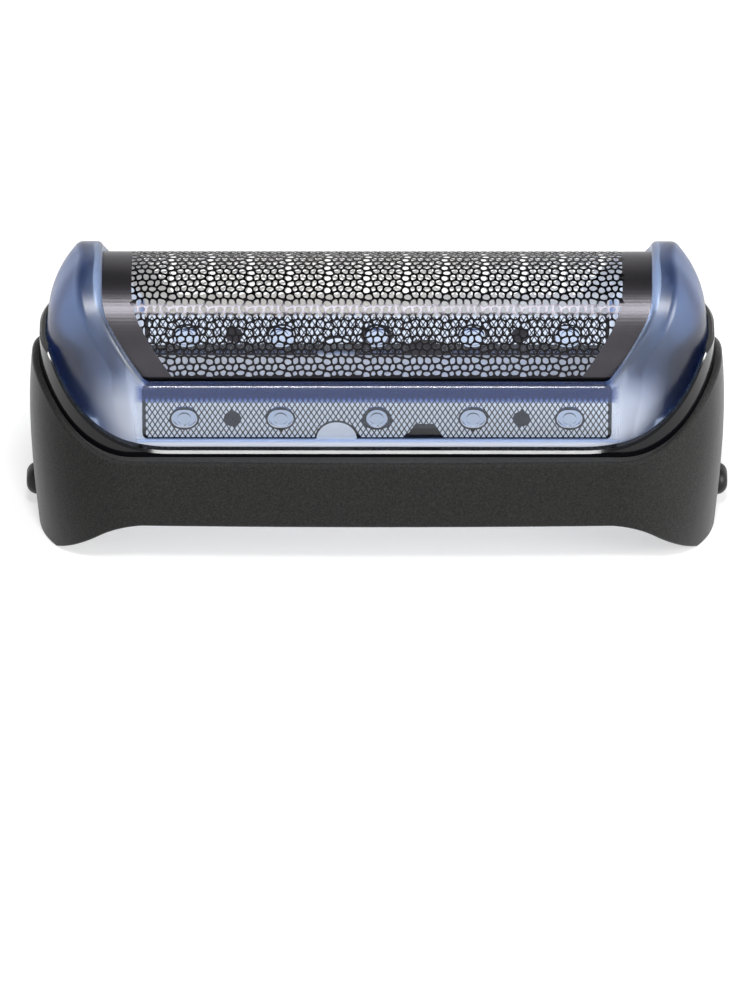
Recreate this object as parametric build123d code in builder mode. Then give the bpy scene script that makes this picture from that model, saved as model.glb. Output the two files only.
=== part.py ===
# A single-foil shaver head: grey cover, black inner frame, blue foil cassette, nickel foil and two release buttons.
# Millimetres. X runs along the head, -Y is the front, Z is up, and the head stands on its two end feet at Z = 0.
import os
from math import cos, radians, sin, tan

from build123d import *

os.makedirs("parts", exist_ok=True)

head_length = 58.0
fit = 0.05               # clearance of pieces that are pushed together
through = head_length    # length of cuts that go right through

# Foil: one sheet bent to half a cylinder on two straight legs
foil_radius = 6.5        # outside of the arch
foil_sheet = 0.1
arch_axis = 16.85        # height of the arch's axis
foil_bottom = 10.3
foil_overlap = 0.3       # how far the foil runs under the cheeks
foil_corner = 0.6
notch_x = -3.35          # half-round notch in the lower edges
notch_radius = 1.68
# perforated field, drawn coarser than the real foil
cell_pitch = 2.75
cell_web = 1.45
row_pitch = 2.3
row_count = 9
field_margin = 2.0

# Cassette: two cheeks and two walls round the foil
cheek = 0.8              # thickness of the cheeks and walls outside the foil
end_wall = 1.9
wall_top = 15.8          # top edge of the front and back walls
end_flat = 0.6           # half the straight part of the ends in plan
cassette_depth = 2 * (foil_radius + fit + cheek) + 0.3
# height and length of the cassette's outside
cassette_outside = [
    (5.9, head_length - 4.0),
    (15.3, head_length - 3.3),
    (20.0, head_length - 3.8),
    (22.7, head_length - 6.2),
    (25.2, head_length - 12.2),
]
cheek_round = 0.8        # rounding where the cheeks turn to the ends
opening_top = head_length / 2 - 6.2    # half widths of the opening between the cheeks
opening_foot = head_length / 2 - 9.8
opening_knee = 21.6      # height where its edges begin to lean
opening_round = 0.5
knee_round = 4.0
corner_round = 0.8       # rounding of the opening's lower corners
post_count = 5
post_margin = 3.2        # from the last post to the opening's lower corner
post_pitch = 2 * (opening_foot - post_margin) / (post_count - 1)
post_height = 12.3
post_radius = 0.55
post_root = 0.3          # how far a post is rooted in the wall
post_head_long = 2.05
post_head_tall = 1.68
post_head = 0.45

# Inner frame: the black ring round the cassette
float_gap = 0.3          # between the cassette's walls and the ring
float_travel = 1.0       # how far the cassette can lift in the ring
ring_end_wall = 0.65
ring_side_wall = 0.95
ring_length = head_length - 1.8
ring_depth = 2 * (foil_radius + fit + cheek + float_gap + ring_side_wall)
ring_flat = 0.8
ring_rim = 10.2          # height of the straight part of its top edge
ring_climb = head_length / 2 - 11.75   # where the top edge starts to climb, measured from the middle
ring_sweep = 10.6        # radius of the climbing part
ring_slope = 62.0        # steepest angle of the climbing part
ring_cap = 17.2          # height at the two ends
ring_bevel = 0.2         # bevel of the rim's outer edge
ring_inner_round = 0.2
ring_bottom = 5.2
ring_end_cut = 4.6       # the ends stop above the buttons' arms, this far in
flange_length = head_length - 22.0
flange_height = 0.8
flange_reach = ring_depth / 2 + 0.6
tab_x = flange_length / 2 - 5.0
tab_length = 5.0
tab_height = 0.75
tab_gap = 0.2
tab_root = foil_radius + 0.5
tab_reach = ring_depth / 2 - 0.25

# Cover: the grey shell
cover_rim = 9.7
cover_climb = head_length / 2 - 8.65
cover_sweep = 7.6
cover_slope = 51.0
cover_cap = 18.0         # higher than the ends, so that the slope runs out over them
cover_round = 0.4
foot_round = 0.2
arch_height = 4.25       # clearance under the front and back edges
foot_start = head_length / 2 - 2.4     # the feet lie outside this
arch_start = head_length / 2 - 7.6
arch_round = 6.0
side_bow = 0.5           # how far the long sides bulge in plan
end_bow = 0.4
land_height = 8.5        # underside of the land that the ring's flange meets
# height, length, depth and half the ends' straight part, of the outside and of the hollow under the land
cover_outside = [
    (0.0, head_length - 1.4, ring_depth + 3.8, 3.1),
    (4.2, head_length - 0.6, ring_depth + 5.0, 2.3),
    (10.0, head_length, ring_depth + 2.2, 1.1),
    (20.5, head_length - 2.7, ring_depth - 0.2, 1.1),
]
cover_hollow = [
    (-0.5, head_length - 4.2, ring_depth + 1.1, 2.75),
    (4.2, head_length - 3.0, ring_depth + 2.6, 2.7),
    (land_height, head_length - 1.7, ring_depth + 1.4, 1.7),
]
ridge_x = 10.0           # snap ridges that hold the flange
ridge_length = 4.0
ridge_depth = 0.9
ridge_height = 1.0

# Release buttons
pivot_x = head_length / 2 - 3.0
pivot_height = 9.4
pin_radius = 0.75
pin_gap = 0.1
arm_width = 6.0
arm_sheet = 0.9
arm_gap = 0.3            # between the arm and the lugs that carry its pin
lug_width = 1.1
lug_size = 2.2
lug_spacing = arm_width + 2 * arm_gap + lug_width
pin_half = lug_spacing / 2 + lug_width / 2 + 0.1
tongue_width = 4.0       # spring tongue above the pin
tongue_sheet = 0.5
tongue_height = 1.7
arm_room = 0.6           # free room round the arms inside the cassette
button_height = 2.2      # height of the button's middle above the feet
button_width = 3.0
button_tall = 2.4
button_round = 0.9
button_face = head_length / 2 + 0.4    # how far out the button reaches
window_gap = 0.45


def outline(length, depth, flat, bow_side=0.0, bow_end=0.0):
    """Plan of a rounded rectangle whose sides may bulge a little; flat is half the straight part of its ends."""
    x, y = length / 2, depth / 2
    with BuildSketch() as plan:
        if bow_side:
            with BuildLine():
                ThreePointArc((-x + bow_end, -y + bow_side), (0, -y), (x - bow_end, -y + bow_side))
                ThreePointArc((x - bow_end, -y + bow_side), (x, 0), (x - bow_end, y - bow_side))
                ThreePointArc((x - bow_end, y - bow_side), (0, y), (-x + bow_end, y - bow_side))
                ThreePointArc((-x + bow_end, y - bow_side), (-x, 0), (-x + bow_end, -y + bow_side))
            make_face()
            fillet(plan.vertices(), y - flat)
        else:
            RectangleRounded(length, depth, y - flat)
    return plan.sketch


def above_rim(level, climb, sweep, slope, cap):
    """Front view of all that lies above a saddle-shaped edge: level in the middle, climbing to a cap at both ends."""
    half, full = radians(slope / 2), radians(slope)
    half_x, half_z = climb + sweep * sin(half), level + sweep * (1 - cos(half))
    bend_x, bend_z = climb + sweep * sin(full), level + sweep * (1 - cos(full))
    cap_x = bend_x + (cap - bend_z) / tan(full)
    with BuildSketch() as view:
        with BuildLine():
            Line((-climb, level), (climb, level))
            ThreePointArc((climb, level), (half_x, half_z), (bend_x, bend_z))
            Polyline(
                (bend_x, bend_z), (cap_x, cap), (through, cap), (through, 2 * through),
                (-through, 2 * through), (-through, cap), (-cap_x, cap), (-bend_x, bend_z),
            )
            ThreePointArc((-bend_x, bend_z), (-half_x, half_z), (-climb, level))
        make_face()
    return view.sketch


def under_arch():
    """Front view of the room under the cover's front edge."""
    with BuildSketch() as view:
        with BuildLine():
            Polyline(
                (-foot_start, -arch_height), (foot_start, -arch_height), (foot_start, 0), (arch_start, arch_height),
                (-arch_start, arch_height), (-foot_start, 0), close=True,
            )
        make_face()
        fillet(view.vertices().group_by(Axis.Y)[-1], arch_round)
    return view.sketch


def opening_view(grow, foot):
    """Front view of the opening between the cheeks, wider on both sides by grow and running down to foot."""
    half_top, half_foot = opening_top + grow, opening_foot + grow
    leg = [(half_foot, foot)] if foot < wall_top else []
    right = leg + [(half_foot, wall_top), (half_top, opening_knee), (half_top, through)]
    with BuildSketch() as view:
        with BuildLine():
            Polyline(*right, *[(-x, z) for x, z in reversed(right)], close=True)
        make_face()
        heights = view.vertices().group_by(Axis.Y)
        fillet(heights[-2], knee_round)
        fillet(view.vertices().group_by(Axis.Y)[len(leg)], corner_round)
    return view.sketch


def arch_view(radius, bottom):
    """Side view of the arch: a half circle on two straight legs."""
    with BuildSketch() as view:
        with BuildLine():
            Polyline((-radius, arch_axis), (-radius, bottom), (radius, bottom), (radius, arch_axis))
            ThreePointArc((radius, arch_axis), (0, arch_axis + radius), (-radius, arch_axis))
        make_face()
    return view.sketch


def on_arch(edge):
    """True for an edge that lies on the outside of the cassette's arch or walls."""
    radius = foil_radius + fit + cheek
    for step in (0.1, 0.5, 0.9):
        point = edge.position_at(step)
        off = abs(point.Y) if point.Z < arch_axis else (point.Y**2 + (point.Z - arch_axis) ** 2) ** 0.5
        if abs(off - radius) > 0.01:
            return False
    return True


def on_outline(edge, length, depth, flat):
    """True for an edge that lies on the wall over a rounded rectangle."""
    corner = depth / 2 - flat
    for step in (0.1, 0.5, 0.9):
        point = edge.position_at(step)
        over_x, over_y = abs(point.X) - length / 2 + corner, abs(point.Y) - depth / 2 + corner
        if over_x > 0 and over_y > 0:
            off = (over_x**2 + over_y**2) ** 0.5 - corner
        else:
            off = max(over_x, over_y) - corner
        if abs(off) > 0.01:
            return False
    return True


def runs_along_y(edge):
    """True for an edge that crosses the head from front to back on a straight line."""
    return edge.geom_type == GeomType.LINE and abs(edge.tangent_at(0).Y) > 0.99


def cassette_core():
    """The hollow inside the cassette."""
    with BuildPart() as core:
        for z, length in [(cassette_outside[0][0] - 1, cassette_outside[0][1])] + cassette_outside[1:]:
            with BuildSketch(Plane.XY.offset(z)):
                add(outline(length - 2 * end_wall, cassette_depth - 2 * cheek, end_flat))
        loft()
        with BuildSketch(Plane.YZ):
            add(arch_view(foil_radius + fit, 0))
        extrude(amount=through, both=True, mode=Mode.INTERSECT)
    return core.part


# Grey cover: a hollow shell with a saddle-shaped top edge and two feet
with BuildPart() as outer_cover:
    for z, length, depth, flat in cover_outside:
        with BuildSketch(Plane.XY.offset(z)):
            add(outline(length, depth, flat, side_bow, end_bow))
    loft()
    # saddle-shaped top edge and arched lower edge, both rounded on the outside
    with BuildSketch(Plane.XZ):
        add(above_rim(cover_rim, cover_climb, cover_sweep, cover_slope, cover_cap))
    extrude(amount=through, both=True, mode=Mode.SUBTRACT)
    with BuildSketch(Plane.XZ):
        add(under_arch())
    extrude(amount=through, both=True, mode=Mode.SUBTRACT)
    skin = [e for e in outer_cover.edges() if not runs_along_y(e) and abs(e.tangent_at(0.5).Z) < 0.95]
    fillet([e for e in skin if e.position_at(0.5).Z > cover_rim - 0.1], cover_round)
    skin = [e for e in outer_cover.edges() if not runs_along_y(e) and abs(e.tangent_at(0.5).Z) < 0.95]
    fillet([e for e in skin if e.position_at(0.5).Z < arch_height + 0.01], foot_round)
    # bore for the inner frame and the hollow under its land
    with BuildSketch(Plane.XY.offset(land_height)):
        add(outline(ring_length + 2 * fit, ring_depth + 2 * fit, ring_flat))
    extrude(amount=through, mode=Mode.SUBTRACT)
    for z, length, depth, flat in cover_hollow:
        with BuildSketch(Plane.XY.offset(z)):
            add(outline(length, depth, flat))
    loft(mode=Mode.SUBTRACT)
    # windows for the release buttons
    with BuildSketch(Plane.YZ):
        with Locations((0, button_height)):
            SlotOverall(button_width + 2 * window_gap, button_tall + 2 * window_gap)
    extrude(amount=through, both=True, mode=Mode.SUBTRACT)
    # snap ridges that hold the inner frame's flange up against the land
    with BuildSketch(Plane.XY.offset(land_height - flange_height)):
        with GridLocations(2 * ridge_x, 2 * flange_reach + ridge_depth / 2 + fit, 2, 2):
            Rectangle(ridge_length, ridge_depth)
    extrude(amount=-ridge_height)
outer_cover.part.label = "outer_cover"
export_step(outer_cover.part, "parts/outer_cover.step")

# Black inner frame: a ring that carries the cassette and the buttons
with BuildPart() as inner_frame:
    with BuildSketch(Plane.XY.offset(ring_bottom)):
        add(outline(ring_length, ring_depth, ring_flat))
    extrude(amount=through)
    with BuildSketch(Plane.XZ):
        add(above_rim(ring_rim, ring_climb, ring_sweep, ring_slope, ring_cap))
    extrude(amount=through, both=True, mode=Mode.SUBTRACT)
    rim = [e for e in inner_frame.edges()
           if e.position_at(0.5).Z > ring_rim - 0.1 and not runs_along_y(e) and abs(e.tangent_at(0.5).Z) < 0.999]
    rim += [e for e in inner_frame.edges() if runs_along_y(e) and abs(e.position_at(0.5).X) > ring_length / 2 - 0.1
            and e.position_at(0.5).Z > ring_rim]
    chamfer(rim, ring_bevel)
    inner_length, inner_depth = ring_length - 2 * ring_end_wall, ring_depth - 2 * ring_side_wall
    with BuildSketch(Plane.XY):
        add(outline(inner_length, inner_depth, ring_flat))
    extrude(amount=through, mode=Mode.SUBTRACT)
    inner = [e for e in inner_frame.edges() if e.position_at(0.5).Z > ring_rim - 0.1
             and on_outline(e, inner_length, inner_depth, ring_flat) and abs(e.tangent_at(0.5).Z) < 0.999]
    fillet(inner, ring_inner_round)
    # the ends stop above the button arms
    with BuildSketch(Plane.XZ):
        with Locations((ring_length / 2, 0), (-ring_length / 2, 0)):
            Rectangle(2 * ring_end_cut, 2 * land_height)
    extrude(amount=through, both=True, mode=Mode.SUBTRACT)
    # flange bars at front and back
    with BuildSketch(Plane.XY.offset(land_height)):
        with GridLocations(0, ring_depth / 2 - ring_side_wall / 2 + flange_reach, 1, 2):
            Rectangle(flange_length, flange_reach - ring_depth / 2 + ring_side_wall / 2)
    extrude(amount=-flange_height)
    # slots for the cassette's tabs
    with BuildSketch(Plane.XY.offset(cassette_outside[0][0])):
        with GridLocations(2 * tab_x, ring_depth - ring_side_wall, 2, 2):
            Rectangle(tab_length + 2 * tab_gap, 2 * ring_side_wall)
    extrude(amount=tab_height + float_travel, mode=Mode.SUBTRACT)
    # lugs for the buttons' pins
    with BuildSketch(Plane.XY.offset(pivot_height - lug_size / 2)):
        with GridLocations(2 * pivot_x - 0.4, lug_spacing, 2, 2):
            Rectangle(lug_size, lug_width)
    extrude(amount=lug_size)
    with BuildSketch(Plane.XZ):
        with Locations((pivot_x, pivot_height), (-pivot_x, pivot_height)):
            Circle(pin_radius + pin_gap)
    extrude(amount=pin_half + pin_gap, both=True, mode=Mode.SUBTRACT)
inner_frame.part.label = "inner_frame"
export_step(inner_frame.part, "parts/inner_frame.step")

# Blue cassette: two cheeks and two walls round the opening, hollow below
core = cassette_core()
with BuildPart() as foil_cassette:
    for z, length in cassette_outside:
        with BuildSketch(Plane.XY.offset(z)):
            add(outline(length, cassette_depth, end_flat))
    loft()
    with BuildSketch(Plane.YZ):
        add(arch_view(foil_radius + fit + cheek, 0))
    extrude(amount=through, both=True, mode=Mode.INTERSECT)
    crease = [e for e in foil_cassette.edges() if on_arch(e) and abs(e.position_at(0.5).X) > opening_foot
              and e.position_at(0.5).Z > cassette_outside[0][0] + 0.1]
    fillet(crease, cheek_round)
    add(core, mode=Mode.SUBTRACT)
    with BuildSketch(Plane.XZ):
        add(opening_view(0, wall_top))
    extrude(amount=through, both=True, mode=Mode.SUBTRACT)
    brim = [e for e in foil_cassette.edges() if on_arch(e) and e.position_at(0.5).Z > wall_top - 0.01
            and abs(e.position_at(0.5).X) < opening_top + 0.01 and e.length < 2 * opening_foot]
    fillet(brim, opening_round)
    # room for the button arms at both ends
    with BuildSketch(Plane.YZ):
        Rectangle(2 * (pin_half + arm_room), 2 * (pivot_height + tongue_height + arm_room))
    extrude(amount=through, both=True, mode=Mode.SUBTRACT)
    # moulded posts that hold the foil, each with its flattened head
    inside = foil_radius + fit
    for side in (1, -1):
        with BuildSketch(Plane.XZ.offset(side * (inside + post_root))):
            with Locations((0, post_height)):
                with GridLocations(post_pitch, 0, post_count, 1):
                    Circle(post_radius)
        extrude(amount=-side * (post_root + foil_sheet + 2 * fit))
        with BuildSketch(Plane.XZ.offset(side * (foil_radius - foil_sheet - fit))):
            with Locations((0, post_height)):
                with GridLocations(post_pitch, 0, post_count, 1):
                    SlotOverall(post_head_long, post_head_tall)
        extrude(amount=-side * post_head)
    # snap tabs that ride in the inner frame's slots
    with BuildSketch(Plane.XY.offset(cassette_outside[0][0])):
        with GridLocations(2 * tab_x, tab_reach + tab_root, 2, 2):
            Rectangle(tab_length, tab_reach - tab_root)
    extrude(amount=tab_height)
foil_cassette.part.label = "foil_cassette"
export_step(foil_cassette.part, "parts/foil_cassette.step")

# Nickel foil: its margins lie behind the cassette's walls
with BuildPart() as shaving_foil:
    with BuildSketch(Plane.YZ):
        add(arch_view(foil_radius, foil_bottom))
        add(arch_view(foil_radius - foil_sheet, foil_bottom - 1), mode=Mode.SUBTRACT)
    extrude(amount=opening_top + foil_overlap, both=True)
    with BuildSketch(Plane.XZ):
        add(opening_view(foil_overlap, 0))
    extrude(amount=through, both=True, mode=Mode.INTERSECT)
    corners = [e for e in shaving_foil.edges() if runs_along_y(e) and e.position_at(0.5).Z < foil_bottom + 0.01]
    fillet(corners, foil_corner)
    # holes for the posts and a half-round notch in both margins
    with BuildSketch(Plane.XZ):
        with Locations((0, post_height)):
            with GridLocations(post_pitch, 0, post_count, 1):
                Circle(post_radius + fit)
        with Locations((notch_x, foil_bottom)):
            Circle(notch_radius)
    extrude(amount=through, both=True, mode=Mode.SUBTRACT)
    # honeycomb of openings, one row at a time round the arch
    for row in range(row_count):
        around = (row - (row_count - 1) / 2) * row_pitch / foil_radius
        height = arch_axis + foil_radius * cos(around)
        lean = max(0.0, opening_knee - height + 0.6) * (opening_top - opening_foot) / (opening_knee - wall_top)
        half_width = opening_top - field_margin - lean
        count = int((2 * half_width - cell_pitch + cell_web) / cell_pitch) + 1
        if count % 2 == row % 2:
            count -= 1
        normal = Vector(0, sin(around), cos(around))
        with BuildSketch(Plane(Vector(0, 0, arch_axis) + normal * (foil_radius - 1), x_dir=(1, 0, 0), z_dir=normal)):
            with GridLocations(cell_pitch, 0, count, 1):
                RegularPolygon((cell_pitch - cell_web) / 2, 6, major_radius=False, rotation=30)
        extrude(amount=2, mode=Mode.SUBTRACT)
shaving_foil.part.label = "shaving_foil"
export_step(shaving_foil.part, "parts/shaving_foil.step")

# Release button: a rounded button on a pivoted arm, with a spring tongue above the pin
with BuildPart() as right_release_button:
    with BuildSketch(Plane.XY.offset(button_height - button_tall / 2)):
        with Locations((pivot_x + 0.05, 0)):
            Rectangle(arm_sheet, arm_width)
    extrude(amount=pivot_height - button_height + button_tall / 2)
    with BuildSketch(Plane.XZ):
        with Locations((pivot_x, pivot_height)):
            Circle(pin_radius)
    extrude(amount=pin_half, both=True)
    # foot of the tongue, then the tongue
    with BuildSketch(Plane.XY.offset(pivot_height - 0.5)):
        with Locations((pivot_x + 0.5, 0)):
            Rectangle(1.2, tongue_width)
    extrude(amount=1.0)
    with BuildSketch(Plane.XY.offset(pivot_height)):
        with Locations((pivot_x + 0.85, 0)):
            Rectangle(tongue_sheet, tongue_width)
    extrude(amount=tongue_height)
    with BuildSketch(Plane.YZ.offset(pivot_x)):
        with Locations((0, button_height)):
            SlotOverall(button_width, button_tall)
    extrude(amount=button_face - pivot_x)
    fillet(right_release_button.faces().sort_by(Axis.X)[-1].edges(), button_round)
right_release_button.part.label = "right_release_button"
export_step(right_release_button.part, "parts/right_release_button.step")

# The same button at the other end
with BuildPart() as left_release_button:
    mirror(right_release_button.part, about=Plane.YZ)
left_release_button.part.label = "left_release_button"
export_step(left_release_button.part, "parts/left_release_button.step")
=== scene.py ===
# %% [markdown]
# # A shaver foil head
# This lesson dresses the head of a foil shaver: a grey cover, a black ring, a clear blue cassette and a
# thin, perforated nickel foil. The solids come from CAD and stay as they are. Blender gives them their
# finishes, and makes the foil anew, because its openings are far finer than a CAD solid should carry.

# %% Load the solids
import math
import random

import bpy
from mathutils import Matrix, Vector
from mathutils.geometry import delaunay_2d_cdt


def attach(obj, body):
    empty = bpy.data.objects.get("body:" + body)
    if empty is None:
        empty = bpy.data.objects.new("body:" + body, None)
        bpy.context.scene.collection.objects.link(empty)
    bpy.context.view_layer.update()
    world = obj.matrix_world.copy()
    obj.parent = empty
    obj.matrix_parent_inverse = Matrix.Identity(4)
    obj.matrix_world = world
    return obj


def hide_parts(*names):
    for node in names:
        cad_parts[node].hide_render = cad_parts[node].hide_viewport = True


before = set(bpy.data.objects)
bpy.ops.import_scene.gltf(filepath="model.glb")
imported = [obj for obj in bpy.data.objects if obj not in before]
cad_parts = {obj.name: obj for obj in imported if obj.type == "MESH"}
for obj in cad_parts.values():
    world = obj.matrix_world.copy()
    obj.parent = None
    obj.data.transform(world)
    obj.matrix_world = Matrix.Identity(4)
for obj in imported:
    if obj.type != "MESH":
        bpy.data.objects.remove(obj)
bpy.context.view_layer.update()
mm = 0.001
print("solids:", ", ".join(sorted(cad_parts)))

# %% [markdown]
# ## The camera
# The head is seen from the front and from 32 degrees above, through a long lens that hardly shows
# perspective. A camera could be placed by eye, but it is surer to work it out: the scale of the picture, in
# pixels to the millimetre, and the distance give the focal length, and one known point gives the direction.

# %% Where the camera looks
image_wide, image_high = 751, 1001
pixels_per_mm = 11.96
known_point = Vector((0.0, 0.0, 10.0)) * mm      # a point inside the head
known_pixel = (377.0, 399.0)                     # where the picture shows it
elevation, azimuth = math.radians(32.0), math.radians(0.05)
distance = 1.05                                  # metres from the known point

towards_camera = Vector((math.sin(azimuth) * math.cos(elevation),
                         -math.cos(azimuth) * math.cos(elevation),
                         math.sin(elevation)))
right = Vector((0, 0, 1)).cross(towards_camera).normalized()
up = towards_camera.cross(right)
pixel = mm / pixels_per_mm
middle = (known_point + right * (image_wide / 2 - known_pixel[0]) * pixel
          - up * (image_high / 2 - known_pixel[1]) * pixel)
print("the picture's middle in mm:", [round(v / mm, 2) for v in middle])

# %% Camera
lens = bpy.data.cameras.new("long_lens")
lens.sensor_fit = "HORIZONTAL"
lens.sensor_width = 36.0
lens.lens = lens.sensor_width * distance / (image_wide * pixel)
camera = bpy.data.objects.new("camera", lens)
camera.location = known_point + towards_camera * distance
camera.rotation_euler = (middle - camera.location).to_track_quat("-Z", "Y").to_euler()
bpy.context.scene.collection.objects.link(camera)
bpy.context.scene.camera = camera
bpy.context.scene.view_settings.view_transform = "Standard"
print("focal length", round(lens.lens), "mm")

# %% [markdown]
# ## Colours and nodes
# Colours are written as sRGB hex values, as a colour picker shows them, but a shader reckons in linear
# light. One function turns the first into the second. A second small function adds a node with its
# settings, its values and the sockets that feed it, so that a material reads from top to bottom.

# %% Helpers for colours, nodes and materials
def linear(hex_colour):
    """The linear RGBA of an sRGB hex colour such as 3a3b3c."""
    parts = [int(hex_colour[i:i + 2], 16) / 255 for i in (0, 2, 4)]
    return tuple(c / 12.92 if c <= 0.04045 else ((c + 0.055) / 1.055) ** 2.4 for c in parts) + (1.0,)


def add_node(tree, kind, values=None, links=None, **settings):
    """Adds a node: settings are its properties, values its sockets' numbers, links what feeds them."""
    new = tree.nodes.new(kind)
    for name, value in settings.items():
        setattr(new, name, value)
    for name, value in (values or {}).items():
        new.inputs[name].default_value = value
    for name, source in (links or {}).items():
        tree.links.new(source, new.inputs[name])
    return new


def new_material(name):
    """An empty material and its node tree."""
    material = bpy.data.materials.new(name)
    material.use_nodes = True
    material.node_tree.nodes.clear()
    return material, material.node_tree


print("mid grey 808080 is", round(linear("808080")[0], 3), "in linear light")

# %% [markdown]
# ## Lamps
# A bright lamp high in front draws the white line along the foil. Its height could be found by trial, but
# the mirror rule gives it: the line lies where the arch's normal is 47 degrees up, and the camera is 32
# degrees up, so the lamp is at 2 x 47 - 32 = 62 degrees. It is wide enough to be mirrored along the whole
# foil, and small and bright, so that it draws a clear line and still gives no more light than a plain
# studio. A weaker lamp brightens the right end.

# %% Lamps
lamp_target = Vector((0.0, 0.0, 15.0)) * mm      # the point in the head that the lamps face


def add_lamp(name, direction, reach, wide, tall, brightness):
    """A rectangular lamp, reach metres from the head; brightness is its radiance, so 1 looks white."""
    light = bpy.data.lights.new(name, "AREA")
    light.shape = "RECTANGLE"
    light.size, light.size_y = wide, tall
    light.energy = brightness * math.pi * wide * tall
    lamp = bpy.data.objects.new(name, light)
    lamp.location = lamp_target + direction.normalized() * reach
    lamp.rotation_euler = (-direction).to_track_quat("-Z", "Y").to_euler()
    bpy.context.scene.collection.objects.link(lamp)


line_up = math.radians(47.0)                     # the arch's normal at the white line, above the horizon
front_up = 2 * line_up - elevation
add_lamp("front_lamp", Vector((0, -math.cos(front_up), math.sin(front_up))),
         reach=0.5, wide=0.12, tall=0.1, brightness=42.0)
add_lamp("right_lamp", Vector((1.0, -0.5, 0.4)), reach=0.6, wide=0.3, tall=0.3, brightness=12.0)
print("front lamp", round(math.degrees(front_up)), "degrees up")

# %% [markdown]
# ## Surroundings
# A pale world fills the shadows. More of it would wash out the head, so it lights the head at a lower level
# than the white that the camera, mirrors and glass see. Overhead it darkens for mirrors and glass, as a
# studio's ceiling does, and so polished metal looks dark there. A picture of a studio could be wrapped round
# the head instead, but a few nodes are enough: Light Path tells the kinds of rays apart, and the height of a
# direction tells where the ceiling is.

# %% Surroundings
def seen_rays(tree):
    """Two masks: rays that come by a mirror or through glass, and those together with the camera's own."""
    path = add_node(tree, "ShaderNodeLightPath")
    mirrored = add_node(tree, "ShaderNodeMath", operation="MAXIMUM",
                        links={0: path.outputs["Is Glossy Ray"], 1: path.outputs["Is Transmission Ray"]})
    seen = add_node(tree, "ShaderNodeMath", operation="MAXIMUM",
                    links={0: path.outputs["Is Camera Ray"], 1: mirrored.outputs[0]})
    return mirrored.outputs[0], seen.outputs[0]


fill_light, seen_white = 0.4, 1.0
ceiling_start, ceiling_full = math.radians(38.0), math.radians(60.0)
ceiling_shade = 0.8                              # share of the light that the full ceiling takes away
world = bpy.data.worlds.new("pale_studio")
bpy.context.scene.world = world
world.use_nodes = True
tree = world.node_tree
tree.nodes.clear()
mirrored, seen = seen_rays(tree)
level = add_node(tree, "ShaderNodeMapRange", links={"Value": seen},
                 values={"To Min": fill_light, "To Max": seen_white})
towards = add_node(tree, "ShaderNodeTexCoord")
axes = add_node(tree, "ShaderNodeSeparateXYZ", links={"Vector": towards.outputs["Generated"]})
ceiling = add_node(tree, "ShaderNodeMapRange", links={"Value": axes.outputs["Z"]},
                   values={"From Min": math.sin(ceiling_start), "From Max": math.sin(ceiling_full),
                           "To Max": ceiling_shade})
shade = add_node(tree, "ShaderNodeMath", operation="MULTIPLY", links={0: mirrored, 1: ceiling.outputs[0]})
left_over = add_node(tree, "ShaderNodeMath", operation="SUBTRACT", values={0: 1.0},
                     links={1: shade.outputs[0]})
strength = add_node(tree, "ShaderNodeMath", operation="MULTIPLY",
                    links={0: level.outputs[0], 1: left_over.outputs[0]})
sky = add_node(tree, "ShaderNodeBackground", values={"Color": linear("ffffff")},
               links={"Strength": strength.outputs[0]})
add_node(tree, "ShaderNodeOutputWorld", links={"Surface": sky.outputs[0]})
print("surroundings light the head at", fill_light, "and are seen at", seen_white)

# %% [markdown]
# ## Floor
# A plain white sheet of paper. A white floor in a photograph is brighter than the light on the object alone
# would make it. Stronger lamps would bleach the head, so the floor adds a little light of its own instead:
# for the rays that are seen and not for those that light the head, and a little more far away, where the
# lamps don't reach. The head's soft shadow stays.

# %% Floor
floor_half = 2.0                                 # metres
gap = 0.02 * mm                                  # so that the feet's undersides don't share its plane
square = ((-1, -1), (1, -1), (1, 1), (-1, 1))    # the corners of a square, counter-clockwise
corners = [(x * floor_half, y * floor_half, -gap) for x, y in square]
floor_mesh = bpy.data.meshes.new("floor")
floor_mesh.from_pydata(corners, [], [(0, 1, 2, 3)])
floor = bpy.data.objects.new("floor", floor_mesh)
bpy.context.scene.collection.objects.link(floor)
print("floor", 2 * floor_half, "m square")

# %% White paper
near, far = 0.1, 0.6                             # metres from the head
glow_near, glow_far = 0.55, 0.8
paper, tree = new_material("white paper sweep, matt")
_, seen = seen_rays(tree)
place = add_node(tree, "ShaderNodeTexCoord")
away = add_node(tree, "ShaderNodeVectorMath", operation="LENGTH", links={0: place.outputs["Object"]})
glow_here = add_node(tree, "ShaderNodeMapRange", links={"Value": away.outputs["Value"]},
                     values={"From Min": near, "From Max": far, "To Min": glow_near, "To Max": glow_far})
own_light = add_node(tree, "ShaderNodeMath", operation="MULTIPLY", links={0: seen, 1: glow_here.outputs[0]})
matt = add_node(tree, "ShaderNodeBsdfDiffuse", values={"Color": linear("c4c4c4")})
glow = add_node(tree, "ShaderNodeEmission", values={"Color": linear("ffffff")},
                links={"Strength": own_light.outputs[0]})
both = add_node(tree, "ShaderNodeAddShader", links={0: matt.outputs[0], 1: glow.outputs[0]})
add_node(tree, "ShaderNodeOutputMaterial", links={"Surface": both.outputs[0]})
floor.data.materials.append(paper)
print(paper.name)

# %% [markdown]
# ## The grey cover
# The cover is moulded ABS, sprayed with a soft-touch lacquer. The lacquer is matt and finely grained, so
# lamps make only broad, weak lights on it, it sparkles a little, and like velvet it looks paler where it
# turns away from the eye. A plain dark grey would look like bare plastic. So a noise lightens and darkens
# the grey and roughens the normal, and a sheen makes the edges paler. The real grain is finer: it is drawn
# at 0.15 mm, about two pixels, so that it shows.

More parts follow.
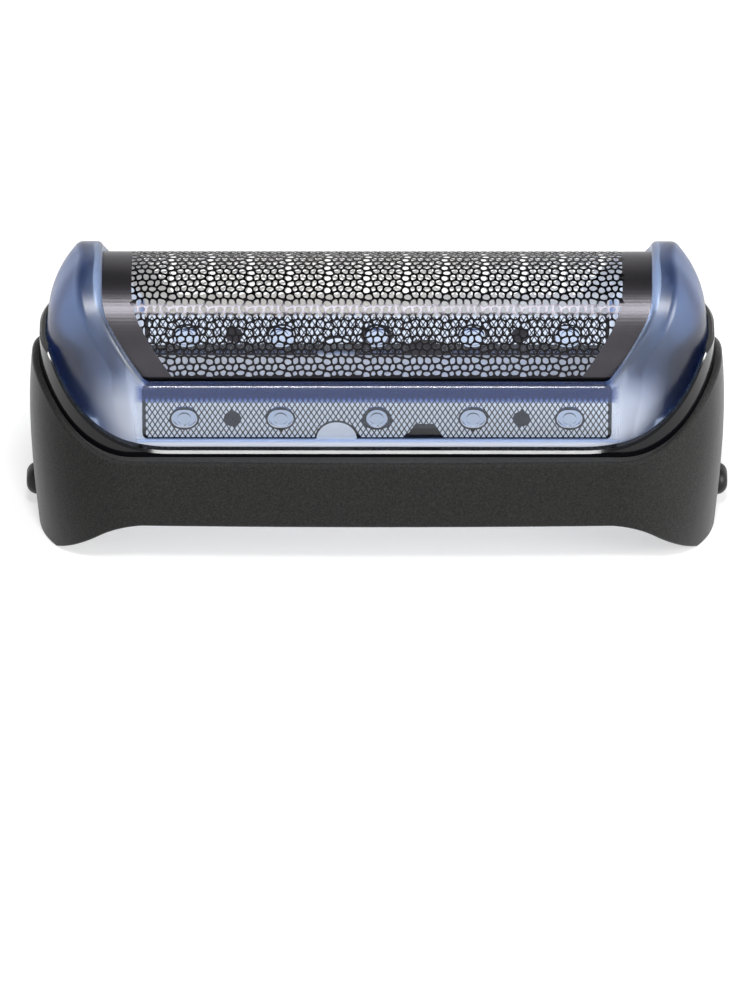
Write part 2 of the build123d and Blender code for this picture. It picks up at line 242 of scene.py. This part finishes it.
# %% Soft-touch lacquer
grain_mm, grain_depth_mm = 0.15, 0.03
lacquer, tree = new_material("soft-touch lacquer on moulded ABS, matt")
place = add_node(tree, "ShaderNodeTexCoord")
grain = add_node(tree, "ShaderNodeTexNoise", links={"Vector": place.outputs["Object"]},
                 values={"Scale": 1 / (grain_mm * mm), "Detail": 2.0, "Roughness": 0.6})
tone = add_node(tree, "ShaderNodeValToRGB", links={"Fac": grain.outputs["Fac"]})
dark, light = tone.color_ramp.elements
dark.position, dark.color = 0.36, linear("181818")
light.position, light.color = 0.70, linear("2b2b2a")
dents = add_node(tree, "ShaderNodeBump", values={"Strength": 0.35, "Distance": grain_depth_mm * mm},
                 links={"Height": grain.outputs["Fac"]})
skin = add_node(tree, "ShaderNodeBsdfPrincipled",
                values={"Roughness": 0.6, "IOR": 1.45, "Specular IOR Level": 0.15,
                        "Sheen Weight": 0.45, "Sheen Roughness": 0.4},
                links={"Base Color": tone.outputs["Color"], "Normal": dents.outputs["Normal"]})
add_node(tree, "ShaderNodeOutputMaterial", links={"Surface": skin.outputs[0]})
print(lacquer.name, "with a grain of", grain_mm, "mm")

# %% [markdown]
# ## The black ring and the buttons
# All three are moulded in black and need no paint: their look is that of the mould. The ring comes out of a
# polished mould with faint waves of about a millimetre, so it mirrors the front lamp as a thin, crisp line.
# The buttons come out of a mould that was roughened by sparks, in pits of about 0.12 mm, and are satin. Two
# separate materials would repeat the same nodes, so one function makes both.

# %% Black plastics
mark_depth_mm = 0.02


def black_moulding(name, colour, roughness, ior, specular, mark_mm, detail, strength):
    """A black plastic with the shallow marks, mark_mm across, that its mould left on it."""
    moulding, tree = new_material(name)
    place = add_node(tree, "ShaderNodeTexCoord")
    marks = add_node(tree, "ShaderNodeTexNoise", links={"Vector": place.outputs["Object"]},
                     values={"Scale": 1 / (mark_mm * mm), "Detail": detail})
    bump = add_node(tree, "ShaderNodeBump", values={"Strength": strength, "Distance": mark_depth_mm * mm},
                    links={"Height": marks.outputs["Fac"]})
    black = add_node(tree, "ShaderNodeBsdfPrincipled",
                     values={"Base Color": linear(colour), "Roughness": roughness, "IOR": ior,
                             "Specular IOR Level": specular},
                     links={"Normal": bump.outputs["Normal"]})
    add_node(tree, "ShaderNodeOutputMaterial", links={"Surface": black.outputs[0]})
    return moulding


polished = black_moulding("black ABS, polished mould", colour="06060a", roughness=0.12, ior=1.5,
                          specular=0.35, mark_mm=1.2, detail=1.0, strength=0.1)
satin = black_moulding("black acetal, spark-textured mould", colour="0b0b0b", roughness=0.42, ior=1.48,
                       specular=0.3, mark_mm=0.12, detail=2.0, strength=0.4)
print(polished.name, "|", satin.name)

# %% [markdown]
# ## The blue cassette
# The cassette is clear polycarbonate, tinted blue. The thin walls at the front look pale and the thick
# ends deep blue, because the plastic swallows red light on the way through, so most of the colour lies in
# its volume and not on its surface. The mould is polished where the walls are windows onto the foil's
# margins. Elsewhere it is sparked to a satin, which blurs what lies behind and scatters some light back.
# The walls' ends and feet are painted pale and cloudy: partly that scatter, partly painted light for the
# light that comes through them. The band over the net is painted a deeper blue: painted shade of the dark
# inside behind it. It is one moulding, so it isn't split into pieces with materials of their own: masks that
# follow the place steer the roughness, the colour and how much goes through.

# %% Where the cassette is satin, milky or blue
clear_blue, tree = new_material("blue-tinted polycarbonate, polished walls and satin cheeks")
place = add_node(tree, "ShaderNodeTexCoord")
axes = add_node(tree, "ShaderNodeSeparateXYZ", links={"Vector": place.outputs["Object"]})
outwards = add_node(tree, "ShaderNodeMath", operation="ABSOLUTE", links={0: axes.outputs["X"]})
along, above = outwards.outputs[0], axes.outputs["Z"]
masks = {}
for name, measure, start, end, at_start, at_end in (
        ("past windows", along, 19.4, 20.2, 0.0, 1.0),
        ("over walls", above, 15.4, 15.9, 0.0, 1.0),
        ("before cheek ends", along, 21.5, 24.0, 1.0, 0.0),
        ("low on cheeks", above, 14.2, 17.0, 0.42, 0.0),
        ("over net", above, 14.1, 14.3, 0.0, 1.0),
        ("foot", above, 10.2, 10.5, 1.0, 0.0)):
    mask = add_node(tree, "ShaderNodeMapRange", links={"Value": measure},
                    values={"From Min": start * mm, "From Max": end * mm,
                            "To Min": at_start, "To Max": at_end})
    masks[name] = mask.outputs[0]
    print(name, "changes from", at_start, "to", at_end, "between", start, "and", end, "mm")

# %% Masks put together
polished_roughness, satin_roughness = 0.03, 0.32
cheeks = add_node(tree, "ShaderNodeMath", operation="MAXIMUM",
                  links={0: masks["past windows"], 1: masks["over walls"]})
gloss = add_node(tree, "ShaderNodeMapRange", links={"Value": cheeks.outputs[0]},
                 values={"To Min": polished_roughness, "To Max": satin_roughness})
wall_ends = add_node(tree, "ShaderNodeMath", operation="MULTIPLY",
                     links={0: masks["past windows"], 1: masks["before cheek ends"]})
wall_ends = add_node(tree, "ShaderNodeMath", operation="MULTIPLY",
                     links={0: wall_ends.outputs[0], 1: masks["low on cheeks"]})
# The rim mask marks the band over the net, below the walls' tops, which is painted a deeper blue as painted
# shade.
rim = add_node(tree, "ShaderNodeMath", operation="SUBTRACT", use_clamp=True,
               links={0: masks["over net"], 1: cheeks.outputs[0]})
# The pale mask marks the walls' ends and feet, painted pale: partly satin scatter, partly painted light.
pale = add_node(tree, "ShaderNodeMath", operation="MAXIMUM",
                links={0: wall_ends.outputs[0], 1: masks["foot"]})
print("roughness", polished_roughness, "in the windows,", satin_roughness, "elsewhere")

# %% [markdown]
# What scatters back, satin and painted light, lets less light through. A glass would cast a black shadow
# here, because lamps can't be found through its surfaces. So shadow rays meet a transparent surface of the
# same blue instead.

# %% Tinted polycarbonate
# What the pale places scatter back is partly satin and partly painted light.
pale_scatter_and_painted_light, rim_scatter_with_painted_shade = 0.8, 0.12                # the share of light that is scattered back
swallowed_per_mm = 0.5
# 6a84c4 is the band's deeper blue, painted shade of the dark inside behind it.
tint_with_painted_shade = add_node(tree, "ShaderNodeMix", data_type="RGBA", links={0: rim.outputs[0]},
                values={6: linear("f1f4fa"), 7: linear("6a84c4")})
scatter_and_painted_light = add_node(tree, "ShaderNodeMath", operation="MULTIPLY", values={1: pale_scatter_and_painted_light},
                 links={0: pale.outputs[0]})
scatter_and_painted_light = add_node(tree, "ShaderNodeMath", operation="MULTIPLY_ADD", values={1: rim_scatter_with_painted_shade},
                 links={0: rim.outputs[0], 2: scatter_and_painted_light.outputs[0]})
through = add_node(tree, "ShaderNodeMath", operation="SUBTRACT", values={0: 1.0}, links={1: scatter_and_painted_light.outputs[0]})
glass = add_node(tree, "ShaderNodeBsdfPrincipled", values={"IOR": 1.52},
                 links={"Base Color": tint_with_painted_shade.outputs[2], "Roughness": gloss.outputs[0],
                        "Transmission Weight": through.outputs[0]})
path = add_node(tree, "ShaderNodeLightPath")
lit_through = add_node(tree, "ShaderNodeBsdfTransparent", values={"Color": linear("dbe4f4")})
surface = add_node(tree, "ShaderNodeMixShader",
                   links={0: path.outputs["Is Shadow Ray"], 1: glass.outputs[0], 2: lit_through.outputs[0]})
swallow = add_node(tree, "ShaderNodeVolumeAbsorption",
                   values={"Color": linear("8fb6e0"), "Density": swallowed_per_mm / mm})
add_node(tree, "ShaderNodeOutputMaterial",
         links={"Surface": surface.outputs[0], "Volume": swallow.outputs[0]})
print(clear_blue.name)

# %% [markdown]
# ## Dressing the solids
# The moulded pieces have their true forms already. Remodelling them would only move them away from the
# sizes that they were fitted to, so each solid keeps its mesh and takes one of the finishes.

# %% Dress the solids
dressing = {
    "outer_cover": lacquer,
    "inner_frame": polished,
    "left_release_button": satin,
    "right_release_button": satin,
    "foil_cassette": clear_blue,
}
for node, material in dressing.items():
    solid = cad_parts[node]
    solid.data.materials.clear()
    solid.data.materials.append(material)
    print(node, "->", material.name)

# %% [markdown]
# ## The foil, laid flat
# The foil is grown in a nickel bath, a tenth of a millimetre thick at most, as a flat sheet with all of its
# openings, and then bent over the cassette. It is made the same way here: a flat drawing with u along the
# head and w from the crown towards the front, all in millimetres, which is triangulated and then bent.
# Cutting the openings out of a bent sheet with booleans would be slow and would leave torn edges.

# %% How the sheet hangs
arch_radius, arch_axis = 6.5, 16.85              # the arch's outside, and the height of its centre
sheet = 0.06                                     # thickness
foil_foot = 10.3                                 # height of the lower edges
quarter = arch_radius * math.pi / 2              # along the sheet, from the crown to where it hangs straight
sheet_half = quarter + arch_axis - foil_foot


def height_at(w):
    """Height above the floor of a point that lies w from the crown."""
    if abs(w) < quarter:
        return arch_axis + arch_radius * math.cos(w / arch_radius)
    return arch_axis - (abs(w) - quarter)


def down_at(height):
    """How far from the crown, along the sheet, a height on its straight part lies."""
    return quarter + arch_axis - height


print("the sheet hangs from", height_at(0), "to", round(height_at(sheet_half), 2), "mm")

# %% [markdown]
# The sheet's ends follow the opening between the cheeks: straight over the crown, then leaning inwards from
# a soft knee, and straight again behind the walls. The lower edges have rounded corners and one half-round
# notch.

# %% The sheet's outline
top_half, foot_half = 23.1, 19.5                 # half lengths at the crown and behind the walls
knee, wall_top = 21.6, 15.8                      # heights between which the edge leans
knee_soft = 1.1                                  # the knee is rounded this far above and below its height
corner = 0.6
notch_u, notch_radius = -3.35, 1.68
edge_steps, corner_steps, notch_steps = 60, 6, 20


def half_length_at(w):
    """Half the sheet's length at w."""
    lean = (top_half - foot_half) / (knee - wall_top)
    over_knee = height_at(w) - knee
    if over_knee > knee_soft:
        return top_half
    if over_knee > -knee_soft:
        return top_half - lean * (knee_soft - over_knee) ** 2 / (4 * knee_soft)
    return max(foot_half, top_half + lean * over_knee)


edge_half = sheet_half - corner
right_edge = [(half_length_at(w), w)
              for w in (edge_half * (2 * k / edge_steps - 1) for k in range(edge_steps + 1))]
right_arc = [(foot_half - corner + corner * math.cos(turn), edge_half + corner * math.sin(turn))
             for turn in (math.radians(90 * k / corner_steps) for k in range(1, corner_steps + 1))]
notch = [(notch_u + notch_radius * math.cos(turn), sheet_half - notch_radius * math.sin(turn))
         for turn in (math.radians(180 * k / notch_steps) for k in range(notch_steps + 1))]
left_arc = [(-u, w) for u, w in reversed(right_arc)]
left_edge = [(-u, w) for u, w in reversed(right_edge)]
front_foot = right_arc + notch + left_arc
back_foot = [(u, -w) for u, w in reversed(front_foot)]
outline = right_edge + front_foot + left_edge + back_foot
print("flat sheet", round(2 * top_half, 1), "by", round(2 * sheet_half, 1), "mm,", len(outline), "points")

# %% [markdown]
# ## The openings that shave
# The perforated field looks irregular but repeats every 3.25 mm: hairs come from all sides, so no two
# neighbouring openings point the same way. A honeycomb would be simpler, and far too regular. Such a net
# can be made from scattered points: each opening is the region nearer to its point than to any other, drawn
# in by half a bar's width. Twenty different cells, in four rows of five, give the repeat.

# %% Twenty scattered points
repeat, cells, row_kinds = 3.25, 5, 4
pitch, row_step = repeat / cells, 0.62
scatter = 0.26                                   # how far a point may stray, as a share of the spacing
shake = random.Random(11)
jitter = [[(shake.uniform(-1, 1) * scatter * pitch, shake.uniform(-1, 1) * scatter * row_step)
           for _ in range(cells)] for _ in range(row_kinds)]


def cell_point(i, j):
    """The point that cell i of row j grows from."""
    du, dw = jitter[j % row_kinds][i % cells]
    return (i + 0.5 * (j % 2)) * pitch + du, j * row_step + dw


print("cells of", round(pitch, 2), "by", row_step, "mm")

# %% The opening round each point
bar = 0.16                                       # width of the metal between two openings
blank_half = 2.0                                 # half the square that an opening is cut from
cells_around, rows_around = 3, 2                 # neighbours that an opening can meet
corner_cut = 0.25                                # share of a side that is cut off at each corner


def cut_by_line(polygon, on_line, outward):
    """The part of a polygon that lies behind a line, given by a point on it and the direction outwards."""
    depth = [(u - on_line[0]) * outward[0] + (w - on_line[1]) * outward[1] for u, w in polygon]
    remaining = []
    for k, (u, w) in enumerate(polygon):
        u2, w2 = polygon[(k + 1) % len(polygon)]
        d, d2 = depth[k], depth[(k + 1) % len(polygon)]
        if d <= 0:
            remaining.append((u, w))
        if d * d2 < 0:
            t = d / (d - d2)
            remaining.append((u + (u2 - u) * t, w + (w2 - w) * t))
    return remaining


def keep_nearer(polygon, here, there):
    """The part of a polygon that is nearer to here than to there, less half a bar."""
    far = math.dist(here, there)
    outward = ((there[0] - here[0]) / far, (there[1] - here[1]) / far)
    reach = (far - bar) / 2
    return cut_by_line(polygon, (here[0] + outward[0] * reach, here[1] + outward[1] * reach), outward)


def opening(i, j):
    """The opening of cell i in row j, with its corners cut."""
    here = cell_point(i, j)
    shape = [(here[0] + a * blank_half, here[1] + b * blank_half) for a, b in square]
    for dj in range(-rows_around, rows_around + 1):
        for di in range(-cells_around, cells_around + 1):
            if (di, dj) != (0, 0):
                shape = keep_nearer(shape, here, cell_point(i + di, j + dj))
    cut = []
    for k, (u, w) in enumerate(shape):
        for u2, w2 in (shape[k - 1], shape[(k + 1) % len(shape)]):
            cut.append((u + (u2 - u) * corner_cut, w + (w2 - w) * corner_cut))
    return cut


patterns = [[opening(i, j) for i in range(cells)] for j in range(row_kinds)]
print(cells * row_kinds, "different openings")

# %% [markdown]
# The field ends in a clean line, parallel to the sheet's edge. Dropping the openings that cross this line
# would leave a ragged edge, so they are cut by it, and only those of which too little is left are dropped.

# %% The field
border = 2.75                                    # solid strip at both ends
last_row = 17
field_half = (last_row + 0.5) * row_step         # the field ends just below its last row
least_opening = 0.07                             # square millimetres
nudge = 0.1                                      # the edge's lean is measured over this much to either side


def area(polygon):
    """The area of a polygon that runs counter-clockwise."""
    return sum(u * polygon[k - 1][1] - polygon[k - 1][0] * w for k, (u, w) in enumerate(polygon)) / -2


def trim_to_field(polygon):
    """The part of a polygon that lies inside the field."""
    u, w = (sum(point[axis] for point in polygon) / len(polygon) for axis in (0, 1))
    side, end = math.copysign(1, u), math.copysign(1, w)
    lean = (half_length_at(w + nudge) - half_length_at(w - nudge)) / (2 * nudge)
    polygon = cut_by_line(polygon, (side * (half_length_at(w) - border), w), (side, -lean))
    return cut_by_line(polygon, (u, end * field_half), (0, end))


rows_out, cells_out = last_row + 1, math.ceil((top_half - border) / pitch) + 1
openings = []
for j in range(-rows_out, rows_out + 1):
    for i in range(-cells_out, cells_out + 1):
        du, dw = (i // cells) * repeat, (j // row_kinds) * row_kinds * row_step
        shape = trim_to_field([(u + du, w + dw) for u, w in patterns[j % row_kinds][i % cells]])
        if len(shape) > 2 and area(shape) > least_opening:
            openings.append(shape)
shaving_openings = len(openings)
print(shaving_openings, "openings in the field")

# %% [markdown]
# ## The margins
# Behind the cassette's clear walls the sheet goes on as a fine net of slanting bars. It is pierced for the
# posts that hold it, and left solid in two dots, a foot and a rim round each post. A bump in the material
# could draw it, but light has to pass through it, so it has real openings: narrow rhombs, each cut by a
# line where it meets a solid place.

# %% Posts and solid places
post_height, post_pitch, post_count = 12.3, 8.0, 5
post_w = down_at(post_height)
posts = [(k - (post_count - 1) / 2) * post_pitch for k in range(post_count)]
dots, dot_radius = (-12.0, 12.0), 0.72
post_rim = (1.24, 1.06)                          # half the length and height of the solid rim round a post
notch_rim_width = 0.15
notch_rim = notch_radius + notch_rim_width
round_places = ([(u, post_w, *post_rim) for u in posts]
                + [(u, post_w, dot_radius, dot_radius) for u in dots]
                + [(notch_u, sheet_half, notch_rim, notch_rim)])
reach_of_place, tiny = 1.6, 1e-6                 # beyond 1.6 radii a round place cuts no opening


def cut_round(polygon, u, w):
    """A net opening round u, w, less what lies in the rims, the dots and the notch."""
    for place_u, place_w, wide, tall in round_places:
        a, b = (u - place_u) / wide, (w - place_w) / tall
        out = math.hypot(a, b)
        if tiny < out < reach_of_place:
            nearest = (place_u + wide * a / out, place_w + tall * b / out)
            polygon = cut_by_line(polygon, nearest, (-a / wide, -b / tall))
    return polygon


print(len(posts), "posts and", len(dots), "dots at", post_height, "mm")

# %% Foot and edges
foot_u, foot_wide, foot_tall, foot_lean = 3.9, 1.65, 1.5, 0.62
solid_foot, solid_side = 0.2, 0.3                # plain strips along the lower edge and the sides


def cut_at_edges(polygon, u, w):
    """A net opening round u, w, less what lies in the foot and in the sheet's solid edges."""
    side = math.copysign(1, u - foot_u)
    top = ((foot_u, sheet_half - foot_tall), (0, 1))
    flank = ((foot_u + side * foot_wide, sheet_half), (-side, foot_lean))
    clear_line = min((top, flank),
                     key=lambda line: (u - line[0][0]) * line[1][0] + (w - line[0][1]) * line[1][1])
    polygon = cut_by_line(polygon, *clear_line)
    polygon = cut_by_line(polygon, (u, sheet_half - solid_foot), (0, 1))
    edge = math.copysign(1, u)
    return cut_by_line(polygon, (edge * (foot_half - solid_side), w), (edge, 0))


print("foot", 2 * foot_wide, "mm wide")

# %% The net
net_height = 14.1                                # the net starts at this height
net_top = down_at(net_height)
net_pitch, net_row, net_bar = 0.455, 0.394, 0.085
bar_share_u, bar_share_w = 0.62, 0.85            # what a bar takes off half an opening's length and height
net_half_u = net_pitch / 2 - bar_share_u * net_bar
net_half_w = net_row - bar_share_w * net_bar
least_share = 0.25                               # openings that are cut to less than this are dropped
least_net_opening = least_share * 2 * net_half_u * net_half_w
net_rows = int((sheet_half - net_top) / net_row) + 1
net_columns = math.ceil(foot_half / net_pitch)
for row in range(net_rows):
    w = net_top + row * net_row
    for i in range(-net_columns, net_columns + 1):
        u = (i + 0.5 * (row % 2)) * net_pitch
        shape = [(u + net_half_u, w), (u, w + net_half_w), (u - net_half_u, w), (u, w - net_half_w)]
        shape = cut_at_edges(cut_round(shape, u, w), u, w)
        if len(shape) > 2 and area(shape) > least_net_opening:
            openings.append(shape)
            openings.append([(a, -b) for a, b in reversed(shape)])
print(len(openings) - shaving_openings, "openings in the two margins")

# %% [markdown]
# The posts have oval heads, apart from the middle one, which is round, and the holes follow them. An
# ellipse would be too pointed, so an oval is drawn as a circle whose halves are moved apart.

# %% Post holes
post_long, post_tall, ring_steps = 2.15, 1.78, 24
for post_u in posts:
    apart = 0.0 if post_u == 0 else (post_long - post_tall) / 2
    hole = []
    for turn in (math.radians(360 * k / ring_steps) for k in range(ring_steps)):
        u, w = math.cos(turn) * post_tall / 2, math.sin(turn) * post_tall / 2
        hole.append((post_u + u + (math.copysign(apart, u) if abs(u) > tiny else 0.0), w))
    for middle_w in (post_w, -post_w):
        openings.append([(u, middle_w + w) for u, w in hole])
print(len(openings), "openings in all")

# %% [markdown]
# ## Triangles, then the bend
# A constrained triangulation joins the outline and all openings into one flat net of triangles and says
# which of them lie inside an opening. Those are dropped. The solid ends have no openings to divide them,
# and would bend in long flat facets, so rows of points go there too.

# %% Triangulate the flat drawing
points, loops = [], []
for loop in [outline] + openings:
    loops.append(list(range(len(points), len(points) + len(loop))))
    points.extend(loop)

row_gap, edge_gap, row_points = 0.55, 0.25, 9
end_rows = int(field_half / row_gap)
for w in [k * row_gap for k in range(-end_rows, end_rows + 1)] + [-field_half, field_half]:
    for k in range(row_points):
        u = half_length_at(w) - edge_gap - (border - 2 * edge_gap) * k / (row_points - 1)
        points.extend([(u, w), (-u, w)])

inside_outline, weld = 1, 1e-6
flat, _, triangles, _, _, owners = delaunay_2d_cdt([Vector(p) for p in points], [], loops,
                                                   inside_outline, weld, True)
kept = [t for t, owner in zip(triangles, owners) if list(owner) == [0]]
print(len(flat), "points,", len(kept), "triangles")

# %% [markdown]
# Every point is then set twice, on the outside and on the inside of the bent sheet, and a strip of faces
# joins the two along every edge. A Solidify modifier would do nearly the same, but this way each face's
# place in the flat drawing stays known, and the finishes need it.

# %% Bend it over the arch
def bend(u, w, depth):
    """A point of the flat drawing on the bent sheet, depth under its outside."""
    radius = arch_radius - depth
    if abs(w) < quarter:
        turn = w / arch_radius
        return u, -radius * math.sin(turn), arch_axis + radius * math.cos(turn)
    return u, -math.copysign(radius, w), height_at(w)


vertices = [Vector(bend(p.x, p.y, depth)) * mm for depth in (0.0, sheet) for p in flat]
half = len(flat)
edges = dict.fromkeys(edge for a, b, c in kept for edge in ((a, b), (b, c), (c, a)))
rims = [edge for edge in edges if edge[::-1] not in edges]
faces = [(a, c, b) for a, b, c in kept] + [(a + half, b + half, c + half) for a, b, c in kept]
faces += [(a, b, b + half, a + half) for a, b in rims]
print(len(faces), "faces,", len(rims), "rim edges")

# %% Foil
crease = math.radians(40.0)                      # the rims stay sharp, the arch is smooth
foil_mesh = bpy.data.meshes.new("foil")
foil_mesh.from_pydata(vertices, [], faces)
foil_mesh.validate()
foil_mesh.shade_smooth()
foil_mesh.set_sharp_from_angle(angle=crease)
foil = bpy.data.objects.new("foil", foil_mesh)
bpy.context.scene.collection.objects.link(foil)
print(foil.name, "with", len(foil_mesh.polygons), "faces")

# %% [markdown]
# ## Electroformed nickel
# The sheet has three surfaces. The bars between the openings are polished, and their colour is painted far
# darker than nickel is: painted dark reflection, so that they look dark and shine only where they mirror the
# lamp. The solid ends carry a microscopic dimple pattern, which scatters more light, and is drawn here at
# 0.22 mm so that it shows; their colour is painted dark too, as painted dark reflection. The inside, which
# grew last in the bath, is matt and painted paler than nickel is: painted light that brightens the openings,
# but at the net it takes the ends' dark colour as painted shade. One nickel for all would be too dark inside
# or too bright outside, so each face takes one of these painted light and dark copies by where it lies in
# the flat drawing.

# %% Nickel
dimple_mm, dimple_depth_mm, bath_mm = 0.22, 0.02, 3.0


def nickel_finish(name, dark, light, roughness, dimple_strength):
    """Nickel with a slow change of tone from the bath and fine dimples."""
    nickel, tree = new_material(name)
    place = add_node(tree, "ShaderNodeTexCoord")
    dimples = add_node(tree, "ShaderNodeTexVoronoi", links={"Vector": place.outputs["Object"]},
                       values={"Scale": 1 / (dimple_mm * mm), "Randomness": 0.15})
    bump = add_node(tree, "ShaderNodeBump", links={"Height": dimples.outputs["Distance"]},
                    values={"Strength": dimple_strength, "Distance": dimple_depth_mm * mm})
    bath = add_node(tree, "ShaderNodeTexNoise", links={"Vector": place.outputs["Object"]},
                    values={"Scale": 1 / (bath_mm * mm), "Detail": 3.0})
    tone = add_node(tree, "ShaderNodeValToRGB", links={"Fac": bath.outputs["Fac"]})
    for step, colour in zip(tone.color_ramp.elements, (dark, light)):
        step.color = linear(colour)
    metal = add_node(tree, "ShaderNodeBsdfPrincipled", values={"Metallic": 1.0, "Roughness": roughness},
                     links={"Base Color": tone.outputs["Color"], "Normal": bump.outputs["Normal"]})
    add_node(tree, "ShaderNodeOutputMaterial", links={"Surface": metal.outputs[0]})
    return nickel


# The dark colours of the bars and ends are painted dark reflection, the pale inside is painted light.
bars, ends, inside = range(3)
for finish in (nickel_finish("electroformed nickel, polished bars", dark="222124", light="2e2d30",
                             roughness=0.14, dimple_strength=0.05),
               nickel_finish("electroformed nickel, dimpled ends", dark="403e42", light="514f53",
                             roughness=0.36, dimple_strength=0.3),
               nickel_finish("electroformed nickel, matt inside, painted light", dark="e8e5df", light="f6f3ee",
                             roughness=0.85, dimple_strength=0.05)):
    foil.data.materials.append(finish)
    print(finish.name)

# %% Which face takes which
def middle_of(triangle):
    """Where a triangle's middle lies in the flat drawing."""
    return [sum(flat[k][axis] for k in triangle) / 3 for axis in (0, 1)]


def outside_finish(u, w):
    """The finish outside: solid ends, or bars."""
    return ends if abs(w) < field_half and abs(u) > half_length_at(w) - border else bars


def inside_finish(w):
    """The finish inside: painted light, pale and matt, but painted shade at the net, which lies against the
    cassette's walls.
    """
    return inside if abs(w) < net_top else ends


middles = [middle_of(t) for t in kept]
finishes = [outside_finish(u, w) for u, w in middles] + [inside_finish(w) for _, w in middles]
finishes += [bars] * len(rims)
foil_mesh.polygons.foreach_set("material_index", finishes)
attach(foil, "cassette")
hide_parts("shaving_foil")
print("faces of each finish:", [finishes.count(k) for k in (bars, ends, inside)])
